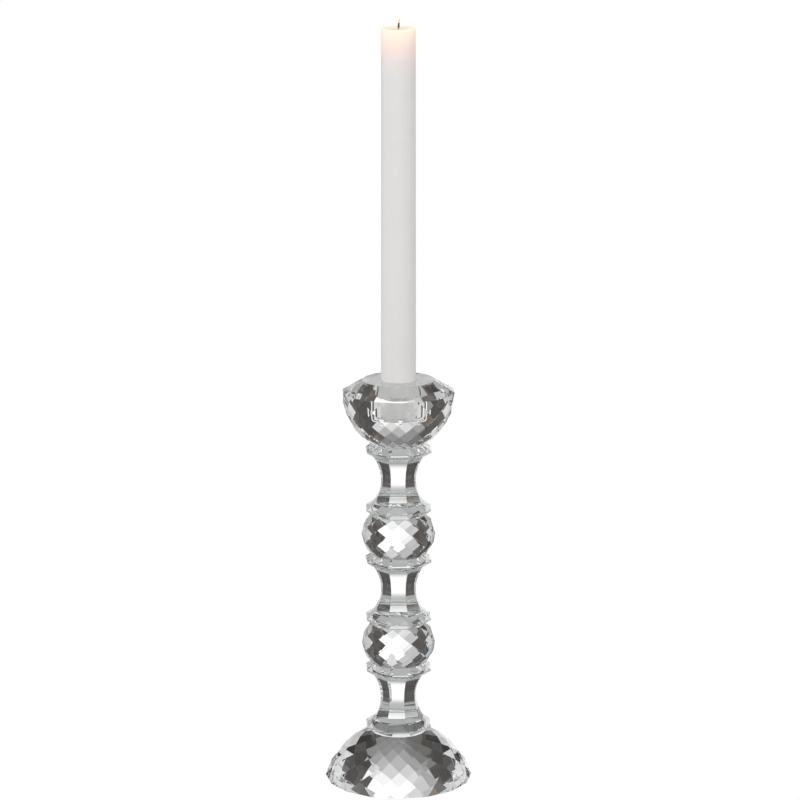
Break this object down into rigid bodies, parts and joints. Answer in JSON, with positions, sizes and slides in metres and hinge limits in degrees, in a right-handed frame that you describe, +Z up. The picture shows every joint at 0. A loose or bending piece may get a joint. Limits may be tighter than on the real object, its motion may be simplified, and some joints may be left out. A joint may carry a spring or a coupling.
{
  "type": "glass candlestick",
  "caption": "Cut-glass candlestick: faceted dome foot, stem of waisted columns, collars and faceted balls, and a faceted cup whose socket holds a lift-out dinner candle.",
  "frame": {"origin": "centre of the foot's flat underside, where the candlestick rests", "axes": "+Z up the stem's axis, towards the candle; -Y faces the viewer"},
  "size_m": [0.098, 0.098, 0.5054],
  "materials": {
    "cut_glass": "polished, clear and colourless, cut in flat facets",
    "clear_adhesive": "clear, cured between polished flats",
    "wax": "satin off-white wax",
    "wick": "charred braided cotton"
  },
  "bodies": {
    "candlestick": {"foot_dome": "cut_glass", "collar_1_lowest": "cut_glass", "column_1_lower": "cut_glass", "collar_2": "cut_glass", "ball_1_lower": "cut_glass", "collar_3": "cut_glass", "column_2_middle": "cut_glass", "collar_4": "cut_glass", "ball_2_upper": "cut_glass", "collar_5": "cut_glass", "column_3_upper": "cut_glass", "collar_6_highest": "cut_glass", "candle_cup": "cut_glass", "bond_01_foot_to_collar": "clear_adhesive", "bond_02_collar_to_column": "clear_adhesive", "bond_03_column_to_collar": "clear_adhesive", "bond_04_collar_to_ball": "clear_adhesive", "bond_05_ball_to_collar": "clear_adhesive", "bond_06_collar_to_column": "clear_adhesive", "bond_07_column_to_collar": "clear_adhesive", "bond_08_collar_to_ball": "clear_adhesive", "bond_09_ball_to_collar": "clear_adhesive", "bond_10_collar_to_column": "clear_adhesive", "bond_11_column_to_collar": "clear_adhesive", "bond_12_collar_to_cup": "clear_adhesive"},
    "candle": {"candle_wax": "wax", "candle_wick": "wick"}
  },
  "joints": [
    {"name": "candle_lift", "type": "slide", "parent": "candlestick", "child": "candle", "axis": [0, 0, 1], "range_m": [0, 0.04]}
  ]
}
